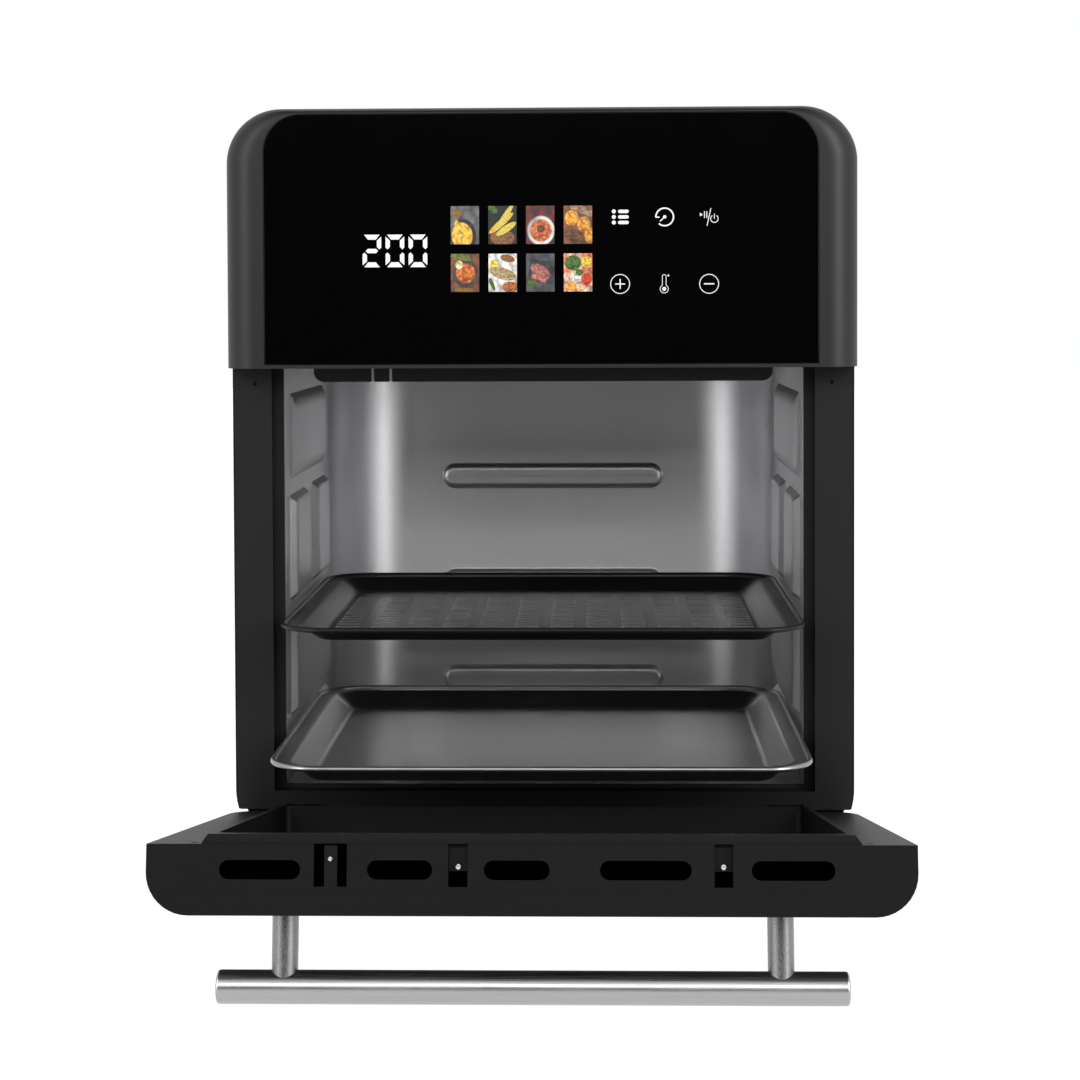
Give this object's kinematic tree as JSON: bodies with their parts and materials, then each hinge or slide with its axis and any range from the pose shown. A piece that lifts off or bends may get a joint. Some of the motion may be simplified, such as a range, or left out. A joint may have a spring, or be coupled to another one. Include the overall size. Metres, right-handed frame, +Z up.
{
  "type": "countertop oven",
  "caption": "Upright countertop oven with a touch-control head, a drop-down glass door with a bar handle, a steel cavity, a fan heater and pull-out trays.",
  "frame": {"origin": "On the table under the middle of the oven as it stands with its door let down and both trays drawn out.", "axes": "+X to the user's right, +Y from the door towards the back of the oven, +Z up from the table"},
  "size_m": [0.324, 0.5336, 0.4024],
  "materials": {
    "shell_paint": "black satin powder coat",
    "head_plastic": "fine-grained dark grey moulding",
    "frame_plastic": "fine-grained black moulding",
    "control_glass": "black back-printed glass, gloss",
    "display": "display module housing",
    "circuit_board": "green solder mask",
    "power_board": "brown phenolic board with parts",
    "ribbon": "grey flat cable",
    "zinc_steel": "bare zinc-coated sheet",
    "cavity_steel": "fine satin, pressed",
    "bright_steel": "bright nickel plate",
    "black_steel": "black enamel",
    "heater_tube": "oxidised sheathed heating tube",
    "ceramic": "unglazed ceramic",
    "mineral_wool": "needled mineral fibre",
    "motor_can": "zinc-plated can with laminations",
    "fan_aluminium": "stamped sheet",
    "white_nylon": "white terminal strip",
    "foot_rubber": "soft black rubber",
    "gasket_rubber": "black silicone",
    "door_glass_outer": "dark tempered glass, gloss",
    "door_glass_inner": "smoked tempered glass",
    "handle_steel": "lengthwise brushed stainless",
    "non_stick": "black non-stick coating",
    "tray_steel": "satin stainless"
  },
  "bodies": {
    "root": {"outer_shell": "shell_paint", "base_plate": "zinc_steel", "rear_cover": "shell_paint", "head_housing": "head_plastic", "control_glass": "control_glass", "display_module": "display", "touch_board": "circuit_board", "board_screws": "bright_steel", "power_board": "power_board", "ribbon_cable": "ribbon", "front_frame": "frame_plastic", "frame_screws": "black_steel", "steam_baffle": "black_steel", "door_switch": "bright_steel", "cavity_liner": "cavity_steel", "floor_pan": "cavity_steel", "cavity_top": "cavity_steel", "heater_guard": "bright_steel", "heating_coil": "heater_tube", "heater_clips": "zinc_steel", "heater_bushes": "ceramic", "insulation_mat": "mineral_wool", "heat_shield": "zinc_steel", "motor_bracket": "zinc_steel", "fan_motor": "motor_can", "air_guide": "zinc_steel", "exhaust_duct": "zinc_steel", "temperature_probe": "bright_steel", "thermal_cutout": "ceramic", "terminal_block": "white_nylon", "cord_gland": "frame_plastic", "rear_spacers": "frame_plastic", "rear_screws": "bright_steel", "feet": "frame_plastic", "foot_pads": "foot_rubber", "foot_screws": "bright_steel", "hinge_arms": "zinc_steel", "hinge_pins": "bright_steel", "door_stops": "foot_rubber"},
    "rotor": {"motor_shaft": "bright_steel", "convection_fan": "fan_aluminium", "cooling_fan": "fan_aluminium"},
    "door": {"door_frame": "frame_plastic", "door_face": "frame_plastic", "door_outer_glass": "door_glass_outer", "door_inner_glass": "door_glass_inner", "glass_gasket": "gasket_rubber", "glass_clips": "zinc_steel", "hinge_knuckles": "zinc_steel", "door_screws": "bright_steel", "handle_bar": "handle_steel", "handle_caps": "handle_steel", "handle_posts": "handle_steel", "handle_screws": "bright_steel"},
    "crisper": {"crisper_tray": "non_stick"},
    "drip": {"drip_tray": "tray_steel"}
  },
  "joints": [
    {"name": "door_hinge", "type": "hinge", "parent": "root", "child": "door", "pos_m": [0, -0.03117, 0.0334], "axis": [-1, 0, 0], "range_deg": [0, 80.45]},
    {"name": "crisper_slide", "type": "slide", "parent": "root", "child": "crisper", "axis": [0, 1, 0], "range_m": [0, 0.0523]},
    {"name": "drip_slide", "type": "slide", "parent": "root", "child": "drip", "axis": [0, 1, 0], "range_m": [0, 0.0916]},
    {"name": "fan_spin", "type": "hinge", "parent": "root", "child": "rotor", "pos_m": [0, 0.11283, 0.33], "axis": [0, 0, 1], "continuous": true}
  ],
  "couplings": [
    {"joint": "crisper_slide", "follows": "door_hinge", "m_per_rad": 0.03703},
    {"joint": "drip_slide", "follows": "door_hinge", "m_per_rad": 0.06502}
  ]
}
